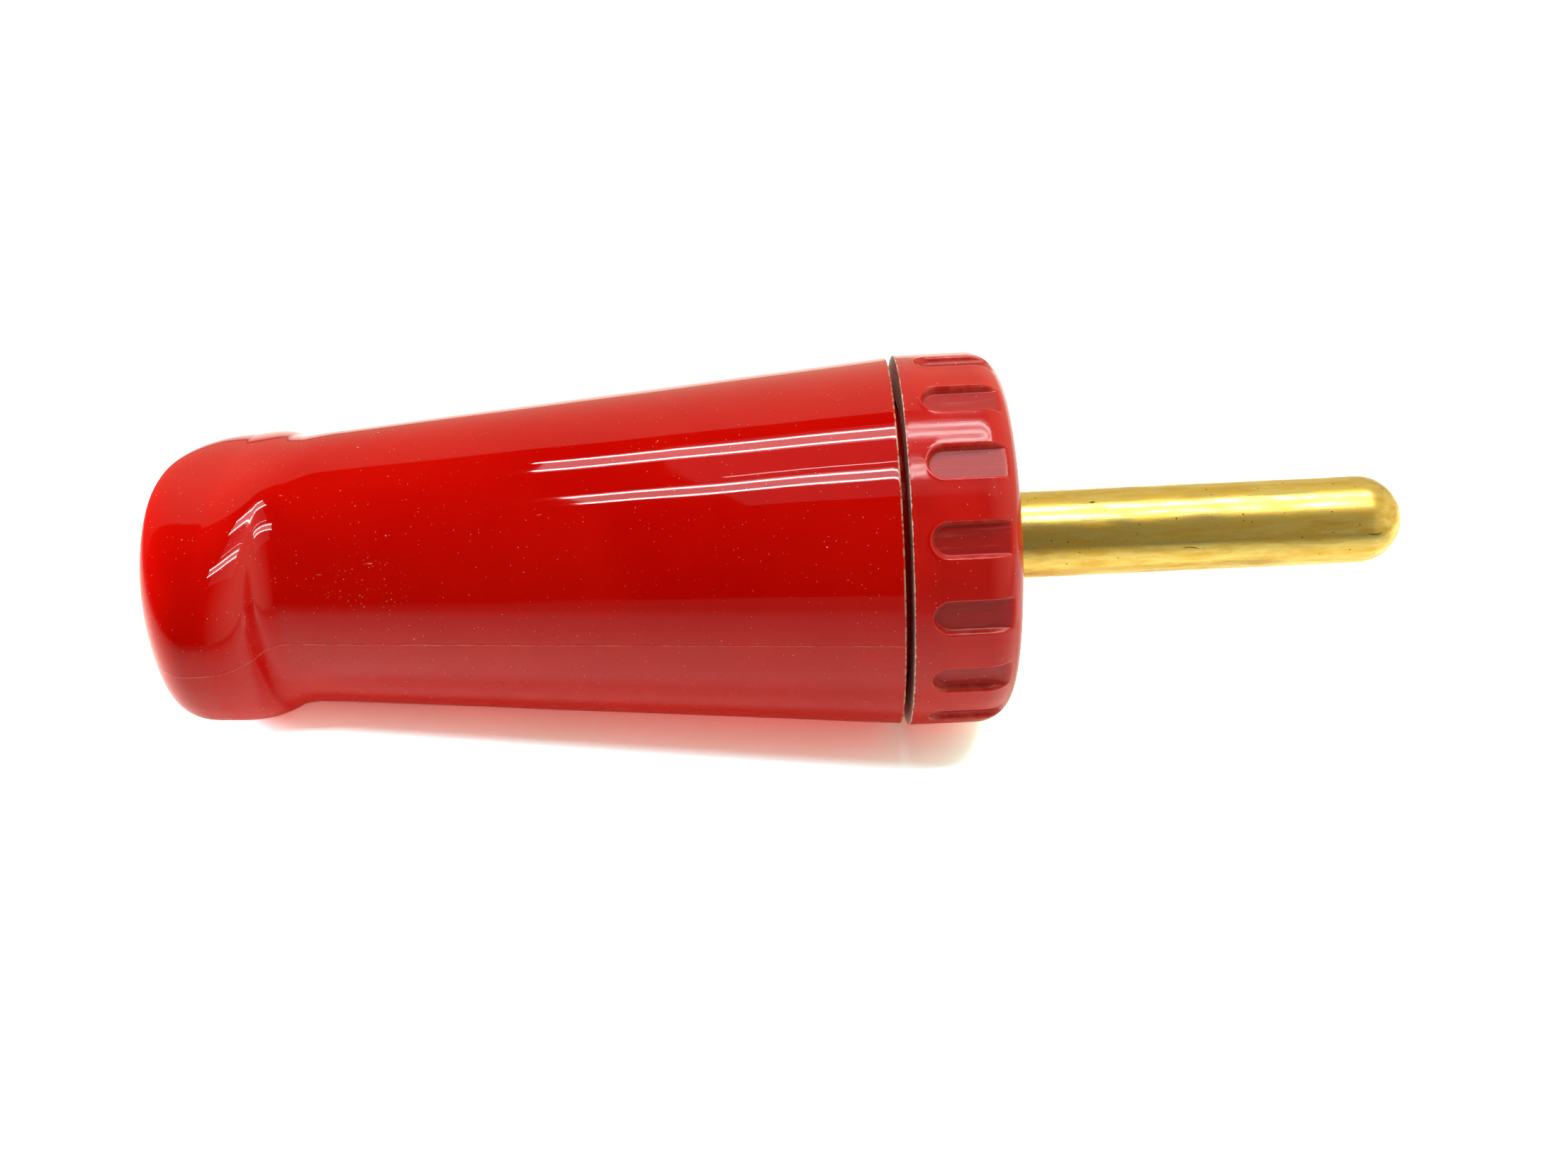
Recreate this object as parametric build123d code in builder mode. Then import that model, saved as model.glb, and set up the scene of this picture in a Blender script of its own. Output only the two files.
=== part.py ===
import os
from math import atan2, cos, pi, radians, sin, sqrt, tan

from build123d import *

# A plug-type pin holder: a brass contact pin carried by a moulded handle and clamped by a screw ring.
# +X runs along the pin to its tip, +Z is up, and the handle's mould parts in the XY plane.
# The origin is the centre of the pin where it leaves the ring. All sizes are in millimetres.

# Contact pin
pin_radius = 6.0
pin_reach = 54.4  # from the ring's lip to the tip
tip_dome_length = 5.6
relief_depth = 0.5  # turned relief inside the ring
flange_radius = 15.2
flange_thickness = 4.0
flange_flats = 27.0  # across the two flats that keep the pin from turning
spigot_radius = 5.0  # M10
spigot_engagement = 13.0
spigot_hole_room = 1.0  # beyond the spigot's end
spigot_bevel = 0.8

# Screw ring
ring_radius = 25.4
ring_length = 14.0
ring_wall = 3.6  # end wall that the pin comes through
ring_corner = 4.6  # rounding between grip and end face
ring_rear_bevel = 0.3
ring_hole_clearance = 0.4
lip_height = 0.35
lip_width = 0.7
washer_pocket_depth = 0.5

# Grip notches round the ring
notch_count = 16
notch_width = 4.3
notch_depth = 1.15
notch_margin = 2.45  # from the ring's rear edge
first_notch_angle = 31.1  # above the -Y side

# Handle: grip and neck
handle_gap = 1.0  # stays open between the tightened ring and the shoulder
shoulder_radius = 25.1
shoulder_bevel = 0.3
grip_taper = 0.085  # loss of radius per mm of length
handle_length = 97.6
neck_radius = 19.0
neck_relief_depth = 0.6
neck_relief_length = 2.0
neck_bevel = 0.8
neck_end_room = 0.8  # between the neck's end and the ring's inner face

# Handle: collar, flared to both sides
lead_in_length = 5.2  # straight stretch that the collar's surface starts with
flare_start = 76.9  # behind the shoulder
flare_length = 11.4
flare_hollow_share = 0.42  # share of the flare taken by its hollow curve
collar_half_width = 24.7
collar_half_height = 16.0
end_half_height = 17.1
collar_fullness = 2.28  # 2 is an ellipse, higher is squarer
end_round_length = 8.3
end_round_width = 12.8
end_drop_length = 14.0  # gentler rounding of the top and bottom
end_drop_height = 2.2
oval_point_count = 12

# Handle: hollow
socket_room_radius = 12.7
socket_room_end = 5.2  # behind the socket
room_taper_length = 4.0
cable_way_radius = 8.6
bush_seat_length = 18.0

# Cable socket
socket_radius = 11.5
socket_length = 38.0
cable_bore_radius = 5.5
cable_bore_length = 22.0
cable_mouth_bevel = 0.8
socket_edge_bevel = 0.6
pad_slot_width = 7.4
pad_slot_length = 17.6
pad_slot_roof = 7.25  # over the axis

# Clamp screws, M6, and their pressure pad
screw_radius = 3.0
screw_length = 4.9
screw_spacing = 9.0
hex_key_size = 3.0
hex_key_depth = 2.2
cup_radius = 1.6
cup_depth = 0.6
cup_taper = 30.0  # degrees
pad_thickness = 1.5

# Washers, nut and bush
washer_thickness = 1.0
gasket_thickness = 1.0
nut_gap = 1.0  # bare spigot between gasket and jam nut
nut_size = 16.0  # across flats
nut_thickness = 5.0
nut_bevel_angle = 30.0  # degrees, at the corners of both faces
spring_washer_thickness = 1.8
spring_washer_radius = 8.6
spring_washer_slit = 2.0
bush_radius = 10.0
bush_bore_radius = 6.8
bush_length = 17.0
bush_mouth_bevel = 1.2

# Fits
thread_clearance = 0.3  # radial, ring on neck
flange_clearance = 0.3  # radial, flange in the neck's recess
slip_clearance = 0.05  # turned pieces on each other
screw_clearance = 0.06  # radial, clamp screws in their tapped holes
pad_clearance = 0.15  # pad in its slot, all round
gasket_clearance = 0.2  # gasket to the walls beside it

# Places along the axis, from the ring's lip backwards
ring_face_x = -lip_height - slip_clearance
ring_back_x = ring_face_x - ring_length
ring_inner_x = ring_face_x - ring_wall
flange_face_x = ring_inner_x - washer_thickness
flange_back_x = flange_face_x - flange_thickness
seat_x = flange_back_x - gasket_thickness
nut_front_x = seat_x - nut_gap
nut_back_x = nut_front_x - nut_thickness
socket_front_x = nut_back_x - spring_washer_thickness
socket_back_x = socket_front_x - socket_length
spigot_end_x = socket_front_x - spigot_engagement
cable_bore_end_x = socket_back_x + cable_bore_length
pad_middle_x = (socket_back_x + cable_bore_end_x) / 2
neck_end_x = ring_inner_x - washer_pocket_depth - neck_end_room
shoulder_x = ring_back_x - handle_gap
room_end_x = socket_back_x - socket_room_end
handle_end_x = shoulder_x - handle_length
bush_seat_x = handle_end_x + bush_seat_length
dome_x = pin_reach - tip_dome_length
dome_radius = (pin_radius**2 + tip_dome_length**2) / (2 * tip_dome_length)

# Sizes that follow from a mate
neck_relief_radius = neck_radius - neck_relief_depth
ring_bore_radius = neck_radius + thread_clearance
relief_radius = pin_radius - relief_depth
ring_hole_radius = pin_radius + ring_hole_clearance
washer_radius = flange_radius - slip_clearance
recess_radius = flange_radius + flange_clearance
recess_flats = flange_flats + 2 * flange_clearance
tapped_hole_radius = screw_radius + screw_clearance
pad_top = pad_slot_roof - pad_clearance
screw_bottom = pad_top + slip_clearance
crest = flare_start + flare_length  # widest place of the collar, behind the shoulder


def grip_radius(back):
    """Radius of the straight grip at a distance behind the shoulder."""
    return shoulder_radius - grip_taper * back


# The flare is two tangent arcs, a hollow one and then a round one, that climb to the collar's full width.
flare_rise = collar_half_width - grip_radius(flare_start)
flare_turn = 2 * atan2(flare_rise, flare_length)
hollow_arc = flare_hollow_share * (flare_length**2 + flare_rise**2) / (2 * flare_rise)
round_arc = hollow_arc * (1 / flare_hollow_share - 1)


def flare_height(back):
    """Height of the flare over the straight grip."""
    along = min(max(back - flare_start, 0), flare_length)
    if along < flare_length * flare_hollow_share:
        return hollow_arc - sqrt(hollow_arc**2 - along**2)
    return flare_rise - round_arc + sqrt(round_arc**2 - (flare_length - along) ** 2)


def ease(value):
    """Smooth step from 0 to 1."""
    value = min(max(value, 0), 1)
    return value**2 * (3 - 2 * value)


def rounding(back, length):
    """Quarter ellipse from 0 to 1 over the last stretch of that length before the rear face."""
    along = min(max(back - handle_length + length, 0) / length, 1)
    return 1 - sqrt(1 - along**2)


def oval_points(back):
    """Points of the handle's section, |y / half_width|^n + |z / half_height|^n = 1, at even angles."""
    radius = grip_radius(min(back, flare_start))
    behind_crest = max(back - crest, 0) / (handle_length - crest)
    half_width = radius + flare_height(back) - end_round_width * rounding(back, end_round_length)
    half_height = radius + (collar_half_height - radius) * ease((back - flare_start) / flare_length)
    half_height += (end_half_height - collar_half_height) * behind_crest
    half_height -= end_drop_height * rounding(back, end_drop_length)
    lead = (back - flare_start + lead_in_length) / (2 * lead_in_length)
    fullness = 2 + (collar_fullness - 2) * ease(lead)
    points = []
    for step in range(oval_point_count):
        angle = 2 * pi * step / oval_point_count
        spread = abs(cos(angle) / half_width) ** fullness + abs(sin(angle) / half_height) ** fullness
        reach = spread ** (-1 / fullness)
        points.append((reach * cos(angle), reach * sin(angle)))
    return points


# Sections of the collar, closer together where its outline turns
stations = [flare_start - lead_in_length / 2, flare_start]
stations += [crest - round_arc * sin(flare_turn * (1 - step / 3)) for step in range(3)]
stations += [handle_length - end_round_length * (1 - sin(pi / 2 * step / 4)) for step in range(5)]
lead_in_x = shoulder_x - flare_start + lead_in_length

# ---- handle: one thermoset moulding ----

with BuildPart() as collar:
    with BuildSketch(Plane.YZ.offset(lead_in_x)):
        Circle(grip_radius(flare_start - lead_in_length))
    for back in stations:
        with BuildSketch(Plane.YZ.offset(shoulder_x - back)):
            with BuildLine():
                Spline(*oval_points(back), periodic=True)
            make_face()
    loft()

with BuildPart() as handle:
    with BuildSketch(Plane.XY):
        with BuildLine():
            Polyline(
                (lead_in_x, 0),
                (lead_in_x, grip_radius(flare_start - lead_in_length)),
                (shoulder_x - shoulder_bevel, grip_radius(shoulder_bevel)),
                (shoulder_x, grip_radius(0) - shoulder_bevel),
                (shoulder_x, neck_relief_radius),
                (shoulder_x + neck_relief_length, neck_relief_radius),
                (shoulder_x + neck_relief_length, neck_radius - neck_bevel),
                (shoulder_x + neck_relief_length + neck_bevel, neck_radius),
                (neck_end_x - neck_bevel, neck_radius),
                (neck_end_x, neck_radius - neck_bevel),
                (neck_end_x, 0),
                close=True,
            )
        make_face()
    revolve(axis=Axis.X)
    add(collar.part)
    # room for the socket, cable way and bush seat
    with BuildSketch(Plane.XY):
        with BuildLine():
            Polyline(
                (neck_end_x, 0),
                (neck_end_x, socket_room_radius),
                (room_end_x, socket_room_radius),
                (room_end_x - room_taper_length, cable_way_radius),
                (bush_seat_x, cable_way_radius),
                (bush_seat_x, bush_radius + slip_clearance),
                (handle_end_x, bush_radius + slip_clearance),
                (handle_end_x, 0),
                close=True,
            )
        make_face()
    revolve(axis=Axis.X, mode=Mode.SUBTRACT)
    # recess for the pin's flange, with flats
    with BuildSketch(Plane.YZ.offset(seat_x)):
        Circle(recess_radius)
        Rectangle(recess_flats, 2 * recess_radius, mode=Mode.INTERSECT)
    extrude(amount=neck_end_x - seat_x, mode=Mode.SUBTRACT)

# ---- screw ring ----

with BuildPart() as screw_ring:
    with BuildSketch(Plane.XY):
        with BuildLine():
            Polyline(
                (ring_face_x, ring_radius - ring_corner),
                (ring_face_x, ring_hole_radius + lip_width),
                (ring_face_x + lip_height, ring_hole_radius + lip_width),
                (ring_face_x + lip_height, ring_hole_radius),
                (ring_inner_x, ring_hole_radius),
                (ring_inner_x, flange_radius + flange_clearance),
                (ring_inner_x - washer_pocket_depth, flange_radius + flange_clearance),
                (ring_inner_x - washer_pocket_depth, ring_bore_radius),
                (ring_back_x, ring_bore_radius),
                (ring_back_x, ring_radius - ring_rear_bevel),
                (ring_back_x + ring_rear_bevel, ring_radius),
                (ring_face_x - ring_corner, ring_radius),
            )
            RadiusArc(
                (ring_face_x - ring_corner, ring_radius),
                (ring_face_x, ring_radius - ring_corner),
                ring_corner,
            )
        make_face()
    revolve(axis=Axis.X)
    notch_length = ring_length - notch_margin + notch_width
    for index in range(notch_count):
        around = radians(first_notch_angle + index * 360 / notch_count)
        outward = (0, -cos(around), sin(around))
        axis_plane = Plane((ring_back_x + notch_margin, 0, 0), x_dir=(1, 0, 0), z_dir=outward)
        with BuildSketch(axis_plane.offset(ring_radius - notch_depth)):
            with Locations((notch_length / 2, 0)):
                SlotOverall(notch_length, notch_width)
        extrude(amount=2 * notch_depth, mode=Mode.SUBTRACT)

# ---- contact pin: turned brass ----

with BuildPart() as contact_pin:
    with BuildSketch(Plane.XY):
        with BuildLine():
            RadiusArc((dome_x, pin_radius), (pin_reach, 0), dome_radius)
            Polyline(
                (dome_x, pin_radius),
                (0, pin_radius),
                (0, relief_radius),
                (flange_face_x, relief_radius),
                (flange_face_x, flange_radius),
                (flange_back_x, flange_radius),
                (flange_back_x, spigot_radius),
                (spigot_end_x + spigot_bevel, spigot_radius),
                (spigot_end_x, spigot_radius - spigot_bevel),
                (spigot_end_x, 0),
                (pin_reach, 0),
            )
        make_face()
    revolve(axis=Axis.X)
    # flats on the flange
    with BuildSketch(Plane.YZ.offset(flange_back_x)):
        Circle(flange_radius)
        Rectangle(flange_flats, 2 * flange_radius, mode=Mode.SUBTRACT)
    extrude(amount=flange_thickness, mode=Mode.SUBTRACT)

# ---- washers between flange, ring and neck ----

with BuildPart() as thrust_washer:
    with BuildSketch(Plane.YZ.offset(flange_face_x)):
        Circle(washer_radius)
        Circle(ring_hole_radius, mode=Mode.SUBTRACT)
    extrude(amount=washer_thickness)

with BuildPart() as neck_gasket:
    with BuildSketch(Plane.YZ.offset(seat_x)):
        Circle(recess_radius - gasket_clearance)
        Rectangle(recess_flats - 2 * gasket_clearance, 2 * recess_radius, mode=Mode.INTERSECT)
        Circle(socket_room_radius, mode=Mode.SUBTRACT)
    extrude(amount=gasket_thickness)

# ---- jam nut and spring washer on the pin's spigot ----

with BuildPart() as jam_nut:
    with BuildSketch(Plane.YZ.offset(nut_back_x)):
        RegularPolygon(nut_size / 2, 6, major_radius=False)
    extrude(amount=nut_thickness)
    # corners turned off at both faces
    with BuildSketch(Plane.XY):
        with BuildLine():
            corner = nut_size / sqrt(3)
            bevel = (corner - nut_size / 2) * tan(radians(nut_bevel_angle))
            Polyline(
                (nut_back_x, 0),
                (nut_back_x, nut_size / 2),
                (nut_back_x + bevel, corner),
                (nut_front_x - bevel, corner),
                (nut_front_x, nut_size / 2),
                (nut_front_x, 0),
                close=True,
            )
        make_face()
    revolve(axis=Axis.X, mode=Mode.INTERSECT)
    with BuildSketch(Plane.YZ.offset(nut_back_x)):
        Circle(spigot_radius + slip_clearance)
    extrude(amount=nut_thickness, mode=Mode.SUBTRACT)

with BuildPart() as spring_washer:
    with BuildSketch(Plane.YZ.offset(socket_front_x)):
        Circle(spring_washer_radius)
        Circle(spigot_radius + slip_clearance, mode=Mode.SUBTRACT)
        with Locations((spring_washer_radius, 0)):
            Rectangle(2 * spring_washer_radius, spring_washer_slit, mode=Mode.SUBTRACT)
    extrude(amount=spring_washer_thickness)

# ---- cable socket: brass, bored for the cable and tapped for the clamp screws ----

screw_places = (pad_middle_x + screw_spacing / 2, pad_middle_x - screw_spacing / 2)

with BuildPart() as cable_socket:
    with BuildSketch(Plane.YZ.offset(socket_back_x)):
        Circle(socket_radius)
    extrude(amount=socket_length)
    chamfer(cable_socket.edges().filter_by(GeomType.CIRCLE), socket_edge_bevel)
    with BuildSketch(Plane.YZ.offset(socket_front_x)):
        Circle(spigot_radius + slip_clearance)
    extrude(amount=-(spigot_engagement + spigot_hole_room), mode=Mode.SUBTRACT)
    with BuildSketch(Plane.YZ.offset(socket_back_x)):
        Circle(cable_bore_radius)
    extrude(amount=cable_bore_length, mode=Mode.SUBTRACT)
    chamfer(cable_socket.faces().sort_by(Axis.X)[0].inner_wires().edges(), cable_mouth_bevel)
    # slot for the pressure pad, over the bore
    with BuildSketch(Plane.XY):
        with Locations((pad_middle_x, 0)):
            SlotOverall(pad_slot_length, pad_slot_width)
    extrude(amount=pad_slot_roof, mode=Mode.SUBTRACT)
    with BuildSketch(Plane.XY.offset(pad_slot_roof)):
        with Locations(*[(place, 0) for place in screw_places]):
            Circle(tapped_hole_radius)
    extrude(amount=socket_radius, mode=Mode.SUBTRACT)

with BuildPart() as pressure_pad:
    with BuildSketch(Plane.XY.offset(pad_top - pad_thickness)):
        with Locations((pad_middle_x, 0)):
            SlotOverall(pad_slot_length - 2 * pad_clearance, pad_slot_width - 2 * pad_clearance)
    extrude(amount=pad_thickness)


# ---- clamp screws: socket set screws with a cup point ----


def clamp_screw(place):
    """One set screw over the pad, at a place along the axis."""
    with BuildPart() as screw:
        with BuildSketch(Plane.XY.offset(screw_bottom)):
            with Locations((place, 0)):
                Circle(screw_radius)
        extrude(amount=screw_length)
        with BuildSketch(Plane.XY.offset(screw_bottom + screw_length)):
            with Locations((place, 0)):
                RegularPolygon(hex_key_size / 2, 6, major_radius=False)
        extrude(amount=-hex_key_depth, mode=Mode.SUBTRACT)
        with BuildSketch(Plane.XY.offset(screw_bottom)):
            with Locations((place, 0)):
                Circle(cup_radius)
        extrude(amount=cup_depth, taper=cup_taper, mode=Mode.SUBTRACT)
    return screw.part


with BuildPart() as clamp_screw_front:
    add(clamp_screw(screw_places[0]))

with BuildPart() as clamp_screw_rear:
    add(clamp_screw(screw_places[1]))

# ---- rubber bush in the handle's rear mouth ----

with BuildPart() as cable_bush:
    with BuildSketch(Plane.YZ.offset(bush_seat_x)):
        Circle(bush_radius)
        Circle(bush_bore_radius, mode=Mode.SUBTRACT)
    extrude(amount=-bush_length)
    rear_face = cable_bush.faces().sort_by(Axis.X)[0]
    chamfer(rear_face.inner_wires().edges(), bush_mouth_bevel)

# ---- names and files ----

pieces = {
    "handle": handle,
    "screw_ring": screw_ring,
    "contact_pin": contact_pin,
    "thrust_washer": thrust_washer,
    "neck_gasket": neck_gasket,
    "jam_nut": jam_nut,
    "spring_washer": spring_washer,
    "cable_socket": cable_socket,
    "pressure_pad": pressure_pad,
    "clamp_screw_front": clamp_screw_front,
    "clamp_screw_rear": clamp_screw_rear,
    "cable_bush": cable_bush,
}

os.makedirs("parts", exist_ok=True)
for name, piece in pieces.items():
    piece.part.label = name
    export_step(piece.part, f"parts/{name}.step")
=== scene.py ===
import math

import bpy
import numpy as np
from mathutils import Matrix, Vector


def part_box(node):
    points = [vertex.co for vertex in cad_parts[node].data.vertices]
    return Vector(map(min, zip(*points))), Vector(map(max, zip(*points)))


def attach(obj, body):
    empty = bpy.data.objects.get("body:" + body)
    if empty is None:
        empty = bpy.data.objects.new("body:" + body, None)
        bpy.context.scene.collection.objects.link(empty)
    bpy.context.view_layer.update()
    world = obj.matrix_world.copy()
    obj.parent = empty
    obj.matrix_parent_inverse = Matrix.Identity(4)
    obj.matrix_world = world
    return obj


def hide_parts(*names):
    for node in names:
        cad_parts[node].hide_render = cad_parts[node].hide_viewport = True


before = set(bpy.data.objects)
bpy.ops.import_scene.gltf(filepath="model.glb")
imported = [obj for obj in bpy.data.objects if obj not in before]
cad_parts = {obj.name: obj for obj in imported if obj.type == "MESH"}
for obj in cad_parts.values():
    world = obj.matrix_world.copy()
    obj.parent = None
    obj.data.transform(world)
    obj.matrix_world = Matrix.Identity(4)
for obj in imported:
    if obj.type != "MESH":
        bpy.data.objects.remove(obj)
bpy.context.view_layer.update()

mm = 0.001
fullTurn = 2 * math.pi


def boxMm(node):
    # a CAD node's lowest and highest corner, in millimetres
    low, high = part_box(node)
    return np.array(low) / mm, np.array(high) / mm


def ease(value):
    # smooth step: 3v^2 - 2v^3 between 0 and 1
    value = np.clip(value, 0, 1)
    return value**2 * (3 - 2 * value)


def roundedRun(corners, longest, steps=5):
    # A chain of straight runs given as (x, radius, rounding). Every inner corner becomes the curve
    # (1-u)^2 a + 2u(1-u) corner + u^2 b, where a and b lie its rounding away on the two runs.
    # Runs are then divided so that none is longer than the given length.
    corners = np.array(corners, float)
    points, rounding = corners[:, :2], corners[:, 2]
    chain = [points[:1]]
    for before, here, after, size in zip(points[:-2], points[1:-1], points[2:], rounding[1:-1]):
        if size <= 0:
            chain.append(here[None])
            continue
        start = here + (before - here) / np.linalg.norm(before - here) * size
        end = here + (after - here) / np.linalg.norm(after - here) * size
        u = np.linspace(0, 1, steps)[:, None]
        chain.append((1 - u) ** 2 * start + 2 * u * (1 - u) * here + u**2 * end)
    chain.append(points[-1:])
    chain = np.concatenate(chain)
    lengths = np.linalg.norm(np.diff(chain, axis=0), axis=1)
    pieces = np.maximum(np.ceil(lengths / longest).astype(int), 1)
    places = np.concatenate([i + np.arange(n) / n for i, n in enumerate(pieces)] + [[len(chain) - 1.0]])
    order = np.arange(len(chain))
    return np.stack([np.interp(places, order, chain[:, 0]), np.interp(places, order, chain[:, 1])], axis=1)


def turned(run, angles, radii=None):
    # A run of (x, radius) carried round the X axis: y = r cos t, z = r sin t.
    # radii, rows by columns, stands in for the run's own radius where the section isn't round.
    if radii is None:
        radii = np.repeat(run[:, 1:2], len(angles), axis=1)
    x = np.repeat(run[:, :1], len(angles), axis=1)
    return np.stack([x, radii * np.cos(angles), radii * np.sin(angles)], axis=-1)


def threadWave(x, angles, pitch, crestShare=0.3, flankShare=0.22):
    # Share of the thread's depth at x and angle t: 0 on the crests, 1 on the floor of the groove.
    # The phase x / pitch - t / (2 pi) makes a right-handed helix.
    phase = (x / pitch - angles / fullTurn) % 1
    away = np.abs(phase - 0.5)
    return ease((0.5 - crestShare / 2 - away) / flankShare)


def ragged(angles):
    # torn edge: 0 to 1 round the axis, a product of three waves of unlike length, kept where it is high
    wave = np.sin(23 * angles + 0.7) * np.sin(61 * angles + 2.1) + 0.6 * np.sin(107 * angles)
    return np.clip(0.35 + 0.65 * wave, 0, 1)


def gridPiece(name, points, closeRows=False, poles=False, attributes=None):
    # Joins neighbouring points of a rows x columns grid into quads; columns always close round the axis.
    # With poles, the first and last rows are one point each. Faces are turned outwards by the signed volume.
    rows, columns = points.shape[:2]
    index = np.arange(rows * columns).reshape(rows, columns)
    if poles:
        index[0], index[-1] = index[0, 0], index[-1, 0]
    used = np.unique(index)
    nextRow = np.roll(index, -1, axis=0)
    quads = np.stack([index, np.roll(index, -1, axis=1), np.roll(nextRow, -1, axis=1), nextRow], axis=-1)
    quads = quads if closeRows else quads[:-1]
    flat = points.reshape(-1, 3) * mm
    a, b, c, d = (flat[quads[..., i]].reshape(-1, 3) for i in range(4))
    inward = (np.cross(b, c) * a).sum() + (np.cross(c, d) * a).sum() < 0
    if inward:
        quads = quads[..., ::-1]
    quads = np.searchsorted(used, quads)
    if poles:  # the rows beside the poles are triangles
        firstFan = np.delete(quads[0], 2 if inward else 0, axis=1)
        lastFan = np.delete(quads[-1], 1 if inward else 3, axis=1)
        fans = [firstFan, lastFan]
        faces = quads[1:-1].reshape(-1, 4).tolist() + np.concatenate(fans).tolist()
    else:
        faces = quads.reshape(-1, 4).tolist()
    mesh = bpy.data.meshes.new(name)
    mesh.from_pydata(flat[used].tolist(), [], faces)
    mesh.polygons.foreach_set("use_smooth", np.ones(len(mesh.polygons), bool))
    for key, values in (attributes or {}).items():
        layer = mesh.attributes.new(key, "FLOAT", "POINT")
        layer.data.foreach_set("value", values.reshape(-1)[used].astype(np.float32))
    mesh.update()
    piece = bpy.data.objects.new(name, mesh)
    bpy.context.scene.collection.objects.link(piece)
    print(name, "-", len(mesh.vertices), "points")
    return piece


def finish(piece, node, body):
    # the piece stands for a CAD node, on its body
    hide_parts(node)
    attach(piece, body)
    return piece


# places that several pieces share, from the CAD boxes

handleLow, handleHigh = boxMm("handle")
ringLow, ringHigh = boxMm("screw_ring")
pinLow, pinHigh = boxMm("contact_pin")
bushLow, bushHigh = boxMm("cable_bush")
handleEnd, neckEnd = handleLow[0], handleHigh[0]
ringBack, ringFront = ringLow[0], ringHigh[0]

# handle: one-piece moulding with threaded neck, tapered grip and flared collar

gripShape = {
    "shoulderX": ringBack - 1.0,
    "shoulder": 25.1,  # radius
    "shoulderEdge": 0.12,
    "middleRadius": 22,
    "taper": 0.085,
    "flareStart": 79.3,  # behind the shoulder
    "flareLength": 9.0,
    "hollowShare": 0.3,  # share of the flare taken by its hollow arc
    "sinkStart": 74.5,  # the top and bottom sink to the collar's height
    "sinkLength": 17.0,
    "collarWidth": 24.7,
    "collarHeight": 16.0,
    "endHeight": 17.1,
    "fullness": 2.28,  # 2 is an ellipse, higher is squarer
    "endRound": 8.3,
    "endRoundWidth": 12.8,
    "endDrop": 14.0,
    "endDropHeight": 2.2,
    "leadIn": 5.2,  # half the length over which the section fills out
    "neck": 19.0,
    "threadPitch": 3.0,
    "threadDepth": 0.85,
    "recess": 15.5,  # seat of the pin's flange, with two flats
    "recessFlat": 13.8,
    "recessFloor": -10.0,
    "room": 12.7,  # bore round the cable socket
    "roomStart": 52.0,  # this and the next two are measured from the rear face
    "cableWayEnd": 48.0,
    "bushDepth": 18.0,
    "cableWay": 8.6,
    "bushSeat": 10.05,
    "seamHeight": 0.05,  # parting ridge left by the mould
    "seamWidth": 0.09,
    "flash": 0.05,  # torn edge round the shoulder
    "waviness": 0.01,
    "columns": 252,
}


def flatRadius(radius, flat, angles):
    # round section with two flats: the smaller of the radius and flat / |cos t|
    return np.minimum(radius, flat / np.maximum(np.abs(np.cos(angles)), 1e-6))


def collarRadii(s, back, angles):
    # Section of grip and collar: reach = (|cos t / a|^n + |sin t / b|^n)^(-1/n). The half width a climbs the
    # flare on two tangent arcs, and both half sizes fall on a quarter ellipse towards the rear face.
    length = s["shoulderX"] - handleEnd
    crest = s["flareStart"] + s["flareLength"]
    straight = s["shoulder"] - s["taper"] * np.minimum(back, s["flareStart"])
    rise = s["collarWidth"] - (s["shoulder"] - s["taper"] * s["flareStart"])
    hollowArc = s["hollowShare"] * (s["flareLength"] ** 2 + rise**2) / (2 * rise)
    roundArc = hollowArc * (1 / s["hollowShare"] - 1)
    along = np.clip(back - s["flareStart"], 0, s["flareLength"])
    hollow = hollowArc - np.sqrt(np.maximum(hollowArc**2 - along**2, 0))
    crown = rise - roundArc + np.sqrt(np.maximum(roundArc**2 - (s["flareLength"] - along) ** 2, 0))
    flare = np.where(along < s["flareLength"] * s["hollowShare"], hollow, crown)
    behind = np.clip((back - crest) / (length - crest), 0, 1)

    def rounding(stretch):
        return 1 - np.sqrt(1 - np.clip((back - length + stretch) / stretch, 0, 1) ** 2)

    halfWidth = straight + flare - s["endRoundWidth"] * rounding(s["endRound"])
    halfHeight = straight + (s["collarHeight"] - straight) * ease((back - s["sinkStart"]) / s["sinkLength"])
    halfHeight = halfHeight + (s["endHeight"] - s["collarHeight"]) * behind
    halfHeight = halfHeight - s["endDropHeight"] * rounding(s["endDrop"])
    n = 2 + (s["fullness"] - 2) * ease((back - s["flareStart"] + s["leadIn"]) / (2 * s["leadIn"]))
    halfWidth, halfHeight, n = halfWidth[:, None], halfHeight[:, None], n[:, None]
    spread = np.abs(np.cos(angles) / halfWidth) ** n + np.abs(np.sin(angles) / halfHeight) ** n
    return spread ** (-1 / n)


def seamRidge(s, x, angles, radii):
    # A ridge along both parting lines: height x exp(-(arc distance / width)^2), broken up along its length
    broken = 0.65 + 0.35 * np.sin(x * 1.9) * np.sin(x * 0.73 + 1.1)
    ridge = sum(np.exp(-(((angles - line) * radii / s["seamWidth"]) ** 2)) for line in (0, math.pi, fullTurn))
    return s["seamHeight"] * broken[:, None] * ridge


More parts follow.
